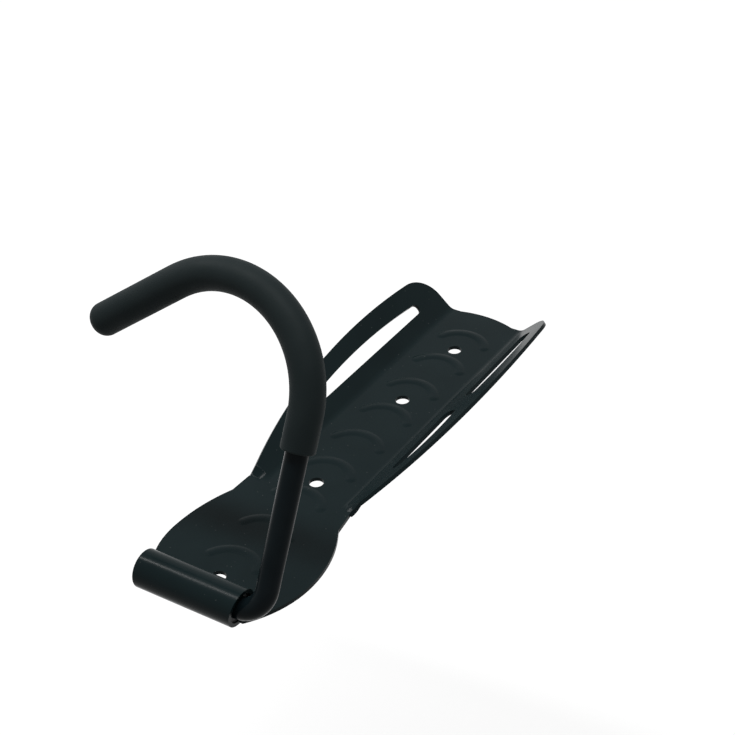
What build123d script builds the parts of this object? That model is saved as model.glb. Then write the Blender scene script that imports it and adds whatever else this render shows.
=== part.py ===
from build123d import *
import os
from math import cos, radians, sin, tan

# A wall rack that a bicycle hangs on by one wheel. A pressed steel plate screws to the wall, a bent
# round rod swings in the barrel rolled from the plate's end, and a rubber sleeve covers the rod's hook.
# X runs along the barrel, +Y along the plate away from it, +Z out of the wall. The origin lies on the
# wall face, midway between the two screws nearest the barrel. Sizes are in millimetres.

# Sheet and screws
sheet = 2.0
screw_hole_diameter = 7.4
upper_screw_pitch = 80.0
middle_screw_pitch = 79.5
lower_screw_pitch = 53.0

# Plan of the plate, measured along Y from the screw nearest the barrel or from the last screw
pad_half_width = 40.7
pad_widest_from_screw = 18.0
neck_half_width = 31.4
waist_half_width = 30.1
neck_offset = 1.5
waist_offset = 2.2
neck_from_screw = 55.0
neck_rounding = 4.0
tail_from_last_screw = 34.2
tail_skew = 0.7
tail_bow = 2.6

# Wings folded up beside the channel, more steeply towards the far end
wing_from_neck = 13.2
wing_run_in = 4.5
fold_half_width = 22.8
near_fold_angle = 30.7
far_fold_angle = 42.6
fold_radius = 6.0
left_wing_height_near = 9.2
right_wing_height_near = 8.4
wing_height_middle = 27.0
wing_height_far = 24.6
wing_corner_rounding = 16.5

# Slots through the wings: one long slot on the left, two on the right with a bridge between them.
# The foot is the lower edge's distance from the fold, the heights are the upper edge's at its start,
# middle and end.
slot_rounding = 3.0
slot_rounding_share = 0.45
left_slot_margin = 18.9
left_slot_length = 95.0
left_slot_foot = 10.2
left_slot_heights = (15.0, 18.1, 15.2)
right_slot_margin = 13.0
right_slot_length = 63.0
right_slot_foot = 9.8
right_slot_heights = (16.8, 18.8, 17.4)
slot_bridge = 14.5
near_slot_length = 52.5
near_slot_foot = 7.8
near_slot_heights = (11.0, 15.8, 15.6)

# Arched ribs pressed up along the channel
rib_pitch = 26.2
rib_first_from_screw = 20.0
rib_arch_radius = 15.0
rib_half_angle = 63.0
rib_width = 6.6
rib_height = 0.6
rib_end_margin = 12.0

# Barrel rolled from the tongue at the plate's end. Its left end is square, its right end leans outwards.
tongue_half_width = 26.0
tongue_offset = 1.5
barrel_left_reach = 27.0
barrel_right_reach = 26.1
barrel_right_flare = 3.1
barrel_from_screw = 18.7
barrel_roll_angle = 305.0
bush_wall = 2.05

# Hook rod: round bar under a dipped coat
bar_diameter = 10.0
rod_coat = 0.4
elbow_inner_radius = 7.5
arm_length = 92.1
hook_inner_radius = 41.9
hook_turn = 127.4
tip_length = 41.9
hook_lean = 61.8

# Rubber sleeve on the hook
sleeve_wall = 2.7
sleeve_start = 77.0
sleeve_cap = 8.0
sleeve_mouth_rounding = 0.8
sleeve_tip_rounding = 6.0
mouth_rounding_share = 0.4
tip_rounding_share = 0.9

# Bushes in the barrel and the clip that keeps the rod in them
running_clearance = 0.05
bush_length = 12.0
right_bush_recess = 0.8
left_bush_recess = 4.0
clip_thickness = 1.2
clip_rim = 1.4
clip_play = 0.3
rod_end_past_clip = 1.6

# Places along the plate
first_screw_y = -upper_screw_pitch / 2
second_screw_y = first_screw_y + upper_screw_pitch
third_screw_y = second_screw_y + middle_screw_pitch
last_screw_y = third_screw_y + lower_screw_pitch
tail_y = last_screw_y + tail_from_last_screw
pad_y = first_screw_y + pad_widest_from_screw
neck_y = first_screw_y + neck_from_screw
wing_y = neck_y + wing_from_neck
left_wing_length = tail_y - wing_y + tail_skew
right_wing_length = tail_y - wing_y - tail_skew

# Barrel, rod and sleeve radii
rod_radius = bar_diameter / 2 + rod_coat
bush_bore_radius = rod_radius + running_clearance
barrel_bore_radius = bush_bore_radius + bush_wall
barrel_radius = barrel_bore_radius + sheet
barrel_y = first_screw_y - barrel_from_screw
barrel_z = barrel_radius
sleeve_radius = rod_radius + sleeve_wall
elbow_radius = elbow_inner_radius + rod_radius
hook_radius = hook_inner_radius + sleeve_radius
arm_x = barrel_right_reach + elbow_radius

# Stations along the barrel
left_bush_x = -barrel_left_reach + left_bush_recess
right_bush_x = barrel_right_reach - right_bush_recess
clip_x = left_bush_x - clip_play
rod_end_x = clip_x - clip_thickness - rod_end_past_clip

# Plane that the right wing's outline is drawn in: x along the fold, y up the slope
outline_slope = radians((near_fold_angle + far_fold_angle) / 2)
outline_plane = Plane((fold_half_width, wing_y, sheet), x_dir=(0, 1, 0),
                      z_dir=(sin(outline_slope), 0, -cos(outline_slope)))
strip_root = fold_radius * tan(radians(far_fold_angle) / 2) + 2 * sheet
tool_reach = wing_height_far + wing_height_middle


def in_section(distance):
    """Plane square to the fold at a distance along it, with x outwards and y up."""
    return Plane((fold_half_width, wing_y + distance, sheet), x_dir=(1, 0, 0), z_dir=(0, -1, 0))


def strip_profile(fold_angle, bent=True):
    """Section of the sheet folded up by an angle, or of the same sheet before folding."""
    fold = radians(fold_angle)
    setback = fold_radius * tan(fold / 2)
    turn = fold if bent else 0
    along = Vector(cos(turn), sin(turn))
    normal = Vector(-sin(turn), cos(turn))
    centre = Vector(-setback, fold_radius)
    middle = Vector(sin(fold / 2), -cos(fold / 2))
    root = Vector(-strip_root, 0)
    start = Vector(-setback, 0)
    stop = centre - normal * fold_radius if bent else start + along * fold_radius * fold
    edge = stop + along * tool_reach
    under_floor = Vector(0, -sheet)
    under_wing = normal * -sheet
    if bent:
        upper_bend = ThreePointArc(start, centre + middle * fold_radius, stop)
        lower_middle = centre + middle * (fold_radius + sheet)
        lower_bend = ThreePointArc(stop + under_wing, lower_middle, start + under_floor)
    else:
        upper_bend = Line(start, stop)
        lower_bend = Line(stop + under_wing, start + under_floor)
    return make_face([
        Line(root, start),
        upper_bend,
        Polyline(stop, edge, edge + under_wing, stop + under_wing),
        lower_bend,
        Polyline(start + under_floor, root + under_floor, root),
    ])


def nearest_corner(sketch, x, y):
    return sketch.vertices().sort_by_distance((x, y, 0))[0]


def wing_outline(waist_width, near_height, length):
    """Outline of the right wing and its strip of floor, x along the fold and y up the slope."""
    below = -strip_root - 2 * sheet
    waist_reach = (waist_width - fold_half_width) * cos(outline_slope)
    waist = (0, waist_reach - sheet / 2 * sin(outline_slope))
    near = (wing_run_in, near_height)
    middle = (length / 2, wing_height_middle)
    corner = (length, wing_height_far)
    face = make_face([
        Polyline(waist, (0, below), (length, below), corner),
        ThreePointArc(corner, middle, near),
        Line(near, waist),
    ])
    return fillet(nearest_corner(face, *corner), wing_corner_rounding)


def slot_tool(start, length, foot, heights):
    """Cutter for one slot: straight along the fold, arched along the wing's edge, rounded corners."""
    stop = start + length
    edges = [
        Polyline((start, heights[0]), (start, foot), (stop, foot), (stop, heights[2])),
        ThreePointArc((stop, heights[2]), ((start + stop) / 2, heights[1]), (start, heights[0])),
    ]
    face = make_face(edges)
    for x, height in ((start, heights[0]), (stop, heights[2])):
        rounding = min(slot_rounding, (height - foot) * slot_rounding_share)
        for y in (foot, height):
            face = fillet(nearest_corner(face, x, y), rounding)
    return extrude(outline_plane * face, tool_reach, both=True)


def wing_blank(waist_width, near_height, length):
    """Right wing before its slots are cut, with the run-in where the flat neck turns up into it."""
    flat = in_section(0) * strip_profile(near_fold_angle, bent=False)
    near = in_section(wing_run_in) * strip_profile(near_fold_angle)
    far = in_section(length) * strip_profile(far_fold_angle)
    folded = loft([flat, near]) + loft([near, far])
    outline = wing_outline(waist_width, near_height, length)
    return folded & extrude(outline_plane * outline, tool_reach, both=True)


def wings():
    """Both wings: the left one has one long slot, and starts wider and higher than the right one."""
    left_start = left_wing_length - left_slot_margin - left_slot_length
    right_start = right_wing_length - right_slot_margin - right_slot_length
    near_start = right_start - slot_bridge - near_slot_length
    left_slot = slot_tool(left_start, left_slot_length, left_slot_foot, left_slot_heights)
    right_slot = slot_tool(right_start, right_slot_length, right_slot_foot, right_slot_heights)
    near_slot = slot_tool(near_start, near_slot_length, near_slot_foot, near_slot_heights)
    right = wing_blank(waist_half_width - waist_offset, right_wing_height_near, right_wing_length)
    left = wing_blank(waist_half_width + waist_offset, left_wing_height_near, left_wing_length)
    return mirror(left - left_slot, about=Plane.YZ), right - right_slot - near_slot


def floor_of_plate():
    """Flat sheet: tongue under the barrel, rounded pad, neck and the channel floor between the wings."""
    root_x = fold_half_width - strip_root
    tongue = {1: tongue_offset + tongue_half_width, -1: tongue_offset - tongue_half_width}
    tail = {1: (root_x, tail_y - tail_skew), -1: (-root_x, tail_y + tail_skew)}
    outline = []
    corners = []
    for side in (1, -1):
        widest = (side * pad_half_width, pad_y)
        neck = (side * neck_half_width - neck_offset, neck_y)
        waist = (side * waist_half_width - waist_offset, wing_y)
        outline += [
            TangentArc(widest, (tongue[side], barrel_y), tangent=(0, -1)),
            TangentArc(widest, neck, tangent=(0, 1)),
            Polyline(neck, waist, (side * root_x, wing_y), tail[side]),
        ]
        corners.append(neck)
    outline += [
        Line((tongue[1], barrel_y), (tongue[-1], barrel_y)),
        ThreePointArc(tail[1], (0, tail_y + tail_bow), tail[-1]),
    ]
    face = make_face(outline)
    for corner in corners:
        face = fillet(nearest_corner(face, *corner), neck_rounding)
    return extrude(face, sheet)


def barrel():
    """The tongue rolled up and over into an open barrel, its underside level with the wall face."""
    start = radians(-90)
    turn = radians(barrel_roll_angle)

    def at(radius, share):
        angle = start - turn * share
        return (barrel_y + radius * cos(angle), barrel_z + radius * sin(angle))

    edges = [
        ThreePointArc(at(barrel_radius, 0), at(barrel_radius, 0.5), at(barrel_radius, 1)),
        Line(at(barrel_radius, 1), at(barrel_bore_radius, 1)),
        ThreePointArc(at(barrel_bore_radius, 1), at(barrel_bore_radius, 0.5), at(barrel_bore_radius, 0)),
        Line(at(barrel_bore_radius, 0), at(barrel_radius, 0)),
    ]
    roll = extrude(Plane.YZ * make_face(edges), barrel_left_reach + barrel_right_reach, both=True)
    top = 2 * barrel_radius
    ends = [
        (-barrel_left_reach, 0),
        (barrel_right_reach, 0),
        (barrel_right_reach + barrel_right_flare, top),
        (-barrel_left_reach, top),
    ]
    across = Plane((0, barrel_y, 0), x_dir=(1, 0, 0), z_dir=(0, -1, 0))
    return roll & extrude(across * make_face(Polyline(*ends, close=True)), top, both=True)


def rib_places():
    """Y of each arch's centre, from the first rib as far as the tail leaves room."""
    crown = first_screw_y + rib_first_from_screw
    while crown < tail_y - rib_end_margin:
        yield crown - rib_arch_radius
        crown += rib_pitch


def rib(section_radius, sink):
    """One arch with round ends, its section's centre sunk below the origin plane."""
    section = Plane.XZ * Pos(rib_arch_radius, -sink) * Circle(section_radius)
    arch = revolve(section, Axis.Z, 2 * rib_half_angle)
    arch = Rot(0, 0, 90 - rib_half_angle) * arch
    end_x = rib_arch_radius * sin(radians(rib_half_angle))
    end_y = rib_arch_radius * cos(radians(rib_half_angle))
    for side in (1, -1):
        arch += Pos(side * end_x, end_y, -sink) * Sphere(section_radius)
    return arch


def base_plate():
    """The whole stamping: floor, wings and barrel, with ribs pressed through and screw holes punched."""
    left, right = wings()
    plate = floor_of_plate() + left + right + barrel()
    half_width = rib_width / 2
    section_radius = (half_width ** 2 + rib_height ** 2) / (2 * rib_height)
    room = 4 * rib_arch_radius
    upper_half = Pos(0, 0, rib_height) * Box(room, room, 2 * rib_height + sheet)
    arch = rib(section_radius, section_radius - rib_height) & upper_half
    for y in rib_places():
        plate += Pos(0, y, sheet) * arch
        plate -= Pos(0, y, 0) * arch
    punch = Cylinder(screw_hole_diameter / 2, 6 * sheet)
    for y in (first_screw_y, second_screw_y, third_screw_y, last_screw_y):
        plate -= Pos(0, y, 0) * punch
    return plate


# Frame of the hook: x along the barrel, y up the arm, leaning out of the wall by the rest angle
hook_plane = Plane((0, barrel_y, barrel_z), x_dir=(1, 0, 0),
                   z_dir=(0, -sin(radians(hook_lean)), cos(radians(hook_lean))))


def hook_turn_points():
    """Start, middle and end of the hook's large bend, and the direction its tip points in."""
    centre = Vector(arm_x - hook_radius, arm_length)
    turn = radians(hook_turn)
    middle = centre + Vector(cos(turn / 2), sin(turn / 2)) * hook_radius
    end = centre + Vector(cos(turn), sin(turn)) * hook_radius
    return Vector(arm_x, arm_length), middle, end, Vector(-sin(turn), cos(turn))


def covered_path(overrun):
    """Centre line under the sleeve, from its mouth to the rod's tip and a little past it."""
    start, middle, end, tip_way = hook_turn_points()
    return [
        Line((arm_x, sleeve_start), start),
        ThreePointArc(start, middle, end),
        Line(end, end + tip_way * (tip_length + overrun)),
    ]


def swept(edges, radius):
    """Round bar along straight runs and tangent arcs."""
    path = hook_plane * Wire(edges)
    section = Plane(path @ 0, z_dir=path % 0) * Circle(radius)
    return sweep(section, path)


def hook_rod():
    """Pin in the barrel, elbow at its mouth, arm, hook and tip, bent from one length of bar."""
    diagonal = elbow_radius * sin(radians(45))
    bend_start = Vector(arm_x - elbow_radius, 0)
    bend_middle = Vector(arm_x - elbow_radius + diagonal, elbow_radius - diagonal)
    bend_end = Vector(arm_x, elbow_radius)
    pin = [
        Line((rod_end_x, 0), bend_start),
        ThreePointArc(bend_start, bend_middle, bend_end),
        Line(bend_end, (arm_x, sleeve_start)),
    ]
    return swept(pin + covered_path(0), rod_radius)


def hook_sleeve():
    """Rubber sleeve, square at its mouth and closed with a rounded end over the rod's tip."""
    skin = swept(covered_path(sleeve_cap), sleeve_radius)
    elbow = hook_plane.from_local_coords((arm_x, 0, 0))
    tip = skin.faces().filter_by(GeomType.PLANE).sort_by_distance(elbow)[-1]
    skin = fillet(tip.edges(), min(sleeve_tip_rounding, sleeve_cap, tip_rounding_share * sleeve_radius))
    mouth = skin.faces().filter_by(GeomType.PLANE).sort_by_distance(elbow)[0]
    skin = fillet(mouth.edges(), min(sleeve_mouth_rounding, mouth_rounding_share * sleeve_wall))
    return skin - swept(covered_path(0), rod_radius)


def ring_on_axis(start_x, length, outer_radius, inner_radius):
    """Ring about the barrel's axis, from start_x towards +X."""
    face = Circle(outer_radius) - Circle(inner_radius)
    return extrude(Plane((start_x, barrel_y, barrel_z), z_dir=(1, 0, 0)) * face, length)


def barrel_bush(start_x):
    return ring_on_axis(start_x, bush_length, barrel_bore_radius, bush_bore_radius)


def retaining_clip():
    """Push-on clip gripping the rod's hidden end."""
    return ring_on_axis(clip_x - clip_thickness, clip_thickness, rod_radius + clip_rim, rod_radius)


parts = {
    "base_plate": base_plate(),
    "hook_rod": hook_rod(),
    "hook_sleeve": hook_sleeve(),
    "pivot_bush_left": barrel_bush(left_bush_x),
    "pivot_bush_right": barrel_bush(right_bush_x - bush_length),
    "retaining_clip": retaining_clip(),
}

os.makedirs("parts", exist_ok=True)
for name, solid in parts.items():
    export_step(solid, f"parts/{name}.step")
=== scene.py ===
import bmesh
import bpy
from math import radians
from mathutils import Euler, Matrix, Vector


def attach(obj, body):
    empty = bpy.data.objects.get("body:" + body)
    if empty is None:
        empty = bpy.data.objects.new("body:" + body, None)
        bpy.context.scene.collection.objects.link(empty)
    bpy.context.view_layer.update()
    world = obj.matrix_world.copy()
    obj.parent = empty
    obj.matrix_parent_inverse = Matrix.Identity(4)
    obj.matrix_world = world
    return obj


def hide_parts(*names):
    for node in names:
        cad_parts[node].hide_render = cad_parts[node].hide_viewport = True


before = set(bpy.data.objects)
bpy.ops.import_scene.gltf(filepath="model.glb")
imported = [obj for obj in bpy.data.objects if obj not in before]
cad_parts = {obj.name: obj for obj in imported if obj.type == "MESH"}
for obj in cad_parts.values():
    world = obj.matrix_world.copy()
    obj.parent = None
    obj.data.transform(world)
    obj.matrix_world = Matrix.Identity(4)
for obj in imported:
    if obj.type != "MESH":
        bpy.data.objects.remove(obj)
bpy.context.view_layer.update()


# Base plate: one stamping of 2 mm steel sheet with the tyre channel, wings and barrel pressed from it.
# It wears a satin black powder coat with a faint orange peel, a little dust and slightly uneven gloss.
# The coat rounds the cut edges a little, and the flat faces stay flat up to the feet of the ribs.
plate_blacks = (0.0048, 0.0102, 0.0114), (0.0062, 0.0126, 0.0139)
plate_roughness = 0.19, 0.26
plate_gloss = 0.05
plate_peel_depth = 0.000015
dust_grey = 0.05, 0.055, 0.055
edge_rounding = 0.00015
sharp_edge = radians(50)
flat_within = radians(0.3)
weld_distance = 0.000002


def new_material(name):
    material = bpy.data.materials.new(name)
    material.use_nodes = True
    nodes = material.node_tree.nodes
    return material, nodes, material.node_tree.links, nodes["Principled BSDF"]


def object_coordinates(nodes):
    return nodes.new("ShaderNodeTexCoord").outputs["Object"]


def noise(nodes, links, coordinates, scale, detail=2.0):
    texture = nodes.new("ShaderNodeTexNoise")
    texture.inputs["Scale"].default_value = scale
    texture.inputs["Detail"].default_value = detail
    links.new(coordinates, texture.inputs["Vector"])
    return texture.outputs["Fac"]


def spread(nodes, links, value, low, high, start=0.3, stop=0.7, curve="LINEAR"):
    ramp = nodes.new("ShaderNodeMapRange")
    ramp.interpolation_type = curve
    ramp.inputs["From Min"].default_value = start
    ramp.inputs["From Max"].default_value = stop
    ramp.inputs["To Min"].default_value = low
    ramp.inputs["To Max"].default_value = high
    links.new(value, ramp.inputs["Value"])
    return ramp.outputs["Result"]


def tint(nodes, links, value, dark, light, start=0.3, stop=0.7):
    ramp = nodes.new("ShaderNodeValToRGB")
    first, last = ramp.color_ramp.elements
    first.position, first.color = start, (*dark, 1)
    last.position, last.color = stop, (*light, 1)
    links.new(value, ramp.inputs["Fac"])
    return ramp.outputs["Color"]


def bump(nodes, links, height, depth):
    relief = nodes.new("ShaderNodeBump")
    relief.inputs["Strength"].default_value = 1.0
    relief.inputs["Distance"].default_value = depth
    links.new(height, relief.inputs["Height"])
    return relief.outputs["Normal"]


def specks(nodes, links, coordinates, scale, size, core=0.6):
    cells = nodes.new("ShaderNodeTexVoronoi")
    cells.inputs["Scale"].default_value = scale
    links.new(coordinates, cells.inputs["Vector"])
    return spread(nodes, links, cells.outputs["Distance"], low=1.0, high=0.0, start=size * core, stop=size)


def over(nodes, links, share, under, colour):
    blend = nodes.new("ShaderNodeMix")
    blend.data_type = "RGBA"
    links.new(share, blend.inputs["Factor"])
    links.new(under, blend.inputs["A"])
    blend.inputs["B"].default_value = (*colour, 1)
    return blend.outputs["Result"]


def powder_coat():
    material, nodes, links, surface = new_material("satin_powder_coat")
    place = object_coordinates(nodes)
    black = tint(nodes, links, noise(nodes, links, place, scale=30, detail=3), *plate_blacks)
    dust = specks(nodes, links, place, scale=260, size=0.07)
    links.new(over(nodes, links, dust, black, dust_grey), surface.inputs["Base Color"])
    wear = noise(nodes, links, place, scale=60, detail=4)
    links.new(spread(nodes, links, wear, *plate_roughness), surface.inputs["Roughness"])
    surface.inputs["Specular IOR Level"].default_value = plate_gloss
    peel = noise(nodes, links, place, scale=1400)
    links.new(bump(nodes, links, peel, plate_peel_depth), surface.inputs["Normal"])
    return material


def applied(piece, kind, **settings):
    change = piece.modifiers.new(kind.lower(), kind)
    for key, value in settings.items():
        setattr(change, key, value)
    finished = bpy.data.meshes.new_from_object(piece.evaluated_get(bpy.context.evaluated_depsgraph_get()))
    piece.modifiers.clear()
    piece.data = finished


def softened_copy(node, name):
    work = bmesh.new()
    work.from_mesh(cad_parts[node].data)
    bmesh.ops.remove_doubles(work, verts=work.verts, dist=weld_distance)
    bmesh.ops.dissolve_limit(work, angle_limit=flat_within, verts=work.verts, edges=work.edges)
    piece = bpy.data.objects.new(name, bpy.data.meshes.new(name))
    work.to_mesh(piece.data)
    work.free()
    bpy.context.scene.collection.objects.link(piece)
    applied(piece, "BEVEL", width=edge_rounding, segments=2, limit_method="ANGLE", angle_limit=sharp_edge)
    piece.data.shade_smooth()
    piece.data.set_sharp_from_angle(angle=sharp_edge)
    applied(piece, "WEIGHTED_NORMAL", keep_sharp=True)
    return piece


def finish_with(piece, material):
    piece.data.materials.clear()
    piece.data.materials.append(material)


plate = softened_copy("base_plate", "coated_plate")
finish_with(plate, powder_coat())
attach(plate, "base")
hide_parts("base_plate")


# Pivot bushes: two moulded nylon rings pressed into the barrel's ends, in which the rod turns.
# Only their black end faces show, set back inside the barrel's mouths.
nylon_blacks = (0.010, 0.010, 0.011), (0.016, 0.016, 0.017)
nylon_roughness = 0.55
nylon_grain_depth = 0.00002


def black_nylon():
    material, nodes, links, surface = new_material("black_nylon")
    place = object_coordinates(nodes)
    black = tint(nodes, links, noise(nodes, links, place, scale=300), *nylon_blacks)
    links.new(black, surface.inputs["Base Color"])
    surface.inputs["Roughness"].default_value = nylon_roughness
    grain = noise(nodes, links, place, scale=2500)
    links.new(bump(nodes, links, grain, nylon_grain_depth), surface.inputs["Normal"])
    return material


nylon = black_nylon()
for name in ("pivot_bush_left", "pivot_bush_right"):
    finish_with(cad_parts[name], nylon)


# Hook rod: 10 mm steel bar bent cold into a pin, an elbow, an arm and the hook under the sleeve.
# It is dipped in a black coat, smoother than the plate's and very slightly uneven.
rod_blacks = (0.0032, 0.0064, 0.0080), (0.0054, 0.0092, 0.0110)
rod_roughness = 0.12, 0.19
rod_gloss = 0.04
rod_ripple_depth = 0.00002


def rod_coat():
    material, nodes, links, surface = new_material("glossy_rod_coat")
    place = object_coordinates(nodes)
    black = tint(nodes, links, noise(nodes, links, place, scale=90, detail=3), *rod_blacks)
    links.new(black, surface.inputs["Base Color"])
    wear = noise(nodes, links, place, scale=150, detail=3)
    links.new(spread(nodes, links, wear, *rod_roughness), surface.inputs["Roughness"])
    surface.inputs["Specular IOR Level"].default_value = rod_gloss
    ripple = noise(nodes, links, place, scale=900)
    links.new(bump(nodes, links, ripple, rod_ripple_depth), surface.inputs["Normal"])
    return material


finish_with(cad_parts["hook_rod"], rod_coat())


# Retaining clip: a push-on ring of spring steel that keeps the rod's end in the barrel.
# It is plain ground steel with a fine uneven grain.
steel_greys = (0.22, 0.22, 0.23), (0.34, 0.34, 0.35)
steel_roughness = 0.3, 0.5


def spring_steel():
    material, nodes, links, surface = new_material("spring_steel")
    place = object_coordinates(nodes)
    grey = tint(nodes, links, noise(nodes, links, place, scale=500, detail=3), *steel_greys)
    links.new(grey, surface.inputs["Base Color"])
    surface.inputs["Metallic"].default_value = 1.0
    grain = noise(nodes, links, place, scale=1200)
    ground = spread(nodes, links, grain, *steel_roughness, start=0.0, stop=1.0)
    links.new(ground, surface.inputs["Roughness"])
    return material


finish_with(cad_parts["retaining_clip"], spring_steel())


# Hook sleeve: a thick rubber tube pushed over the hook, closed and rounded at the tip.
# Matte black with a soft bloom and a very fine moulded grain.
rubber_blacks = (0.0096, 0.0142, 0.0149), (0.0126, 0.0178, 0.0186)
rubber_roughness = 0.52, 0.62
rubber_gloss = 0.06
rubber_grain_depth = 0.00004


def sleeve_rubber():
    material, nodes, links, surface = new_material("sleeve_rubber")
    place = object_coordinates(nodes)
    black = tint(nodes, links, noise(nodes, links, place, scale=45, detail=4), *rubber_blacks)
    links.new(black, surface.inputs["Base Color"])
    bloom = noise(nodes, links, place, scale=80, detail=3)
    links.new(spread(nodes, links, bloom, *rubber_roughness), surface.inputs["Roughness"])
    surface.inputs["Specular IOR Level"].default_value = rubber_gloss
    grain = noise(nodes, links, place, scale=1100, detail=3)
    links.new(bump(nodes, links, grain, rubber_grain_depth), surface.inputs["Normal"])
    return material


finish_with(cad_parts["hook_sleeve"], sleeve_rubber())


# Studio: a plain pale floor well below the rack, a white surround and one long soft lamp overhead.
# Floor and surround are white to the eye and in reflections, and the light that they throw on the
# rack is dimmer. The floor keeps a faint shadow.
white = 1, 1, 1, 1
floor_drop = 0.30
floor_half = 12.0
floor_grey = 0.42, 0.42, 0.42, 1
floor_roughness = 0.9
floor_white_near, floor_white_far = 0.62, 0.80
floor_fade_start, floor_fade_stop = 0.35, 1.6
surround_light = 0.22
surround_white = 1.0
rack_middle = Vector((0.0, 0.08, 0.03))
lamp_place = Vector((-0.30, 0.06, 1.45))
lamp_width, lamp_length = 0.16, 2.4
lamp_power = 32


def seen_or_mirrored(nodes, links):
    path = nodes.new("ShaderNodeLightPath").outputs
    result = path["Is Camera Ray"]
    for kind in ("Is Glossy Ray", "Is Transmission Ray"):
        node = nodes.new("ShaderNodeMath")
        node.operation = "MAXIMUM"
        links.new(result, node.inputs[0])
        links.new(path[kind], node.inputs[1])
        result = node.outputs[0]
    return result


def two_strengths(nodes, links, thrown, strength):
    choice = nodes.new("ShaderNodeMix")
    links.new(seen_or_mirrored(nodes, links), choice.inputs["Factor"])
    choice.inputs["A"].default_value = thrown
    links.new(choice.outputs["Result"], strength)
    return choice.inputs["B"]


def studio_floor():
    material, nodes, links, surface = new_material("studio_floor")
    surface.inputs["Base Color"].default_value = floor_grey
    surface.inputs["Roughness"].default_value = floor_roughness
    surface.inputs["Specular IOR Level"].default_value = 0.0
    surface.inputs["Emission Color"].default_value = white
    away = nodes.new("ShaderNodeVectorMath")
    away.operation = "LENGTH"
    links.new(object_coordinates(nodes), away.inputs[0])
    glow = spread(nodes, links, away.outputs["Value"], floor_white_near, floor_white_far,
                  floor_fade_start, floor_fade_stop, curve="SMOOTHSTEP")
    shown = two_strengths(nodes, links, 0.0, surface.inputs["Emission Strength"])
    links.new(glow, shown)
    return material


corner_signs = (-1, -1), (1, -1), (1, 1), (-1, 1)
floor_corners = [(floor_half * x, floor_half * y, -floor_drop) for x, y in corner_signs]
floor_mesh = bpy.data.meshes.new("floor")
floor_mesh.from_pydata(floor_corners, [], [(0, 1, 2, 3)])
floor = bpy.data.objects.new("floor", floor_mesh)
bpy.context.scene.collection.objects.link(floor)
floor_mesh.materials.append(studio_floor())

world = bpy.data.worlds.new("studio")
world.use_nodes = True
bpy.context.scene.world = world
tree = world.node_tree
surround = tree.nodes["Background"].inputs
surround["Color"].default_value = white
shown = two_strengths(tree.nodes, tree.links, surround_light, surround["Strength"])
shown.default_value = surround_white

lamp_data = bpy.data.lights.new("key", "AREA")
lamp_data.shape = "RECTANGLE"
lamp_data.size, lamp_data.size_y = lamp_width, lamp_length
lamp_data.energy = lamp_power
lamp = bpy.data.objects.new("key", lamp_data)
lamp.location = lamp_place
lamp.rotation_euler = (rack_middle - lamp_place).to_track_quat("-Z", "Y").to_euler()
bpy.context.scene.collection.objects.link(lamp)


# Camera: its place, aim and lens are solved from the screw holes and the outlines in the photograph.
# It looks down on the rack from the hook's end, with a slight roll.
camera_place = 0.4200, -0.5082, 0.5431
azimuth, elevation, roll = radians(35.09), radians(34.52), radians(-3.5)
camera_data = bpy.data.cameras.new("camera")
camera_data.sensor_width = 36.0
camera_data.lens = 87.2
camera_data.clip_start = 0.01
camera_data.clip_end = 50
camera = bpy.data.objects.new("camera", camera_data)
turn = Euler((radians(90) - elevation, 0, azimuth)).to_matrix() @ Matrix.Rotation(roll, 3, "Z")
camera.matrix_world = Matrix.Translation(camera_place) @ turn.to_4x4()
bpy.context.scene.collection.objects.link(camera)
bpy.context.scene.camera = camera

bpy.context.scene.view_settings.view_transform = "Standard"
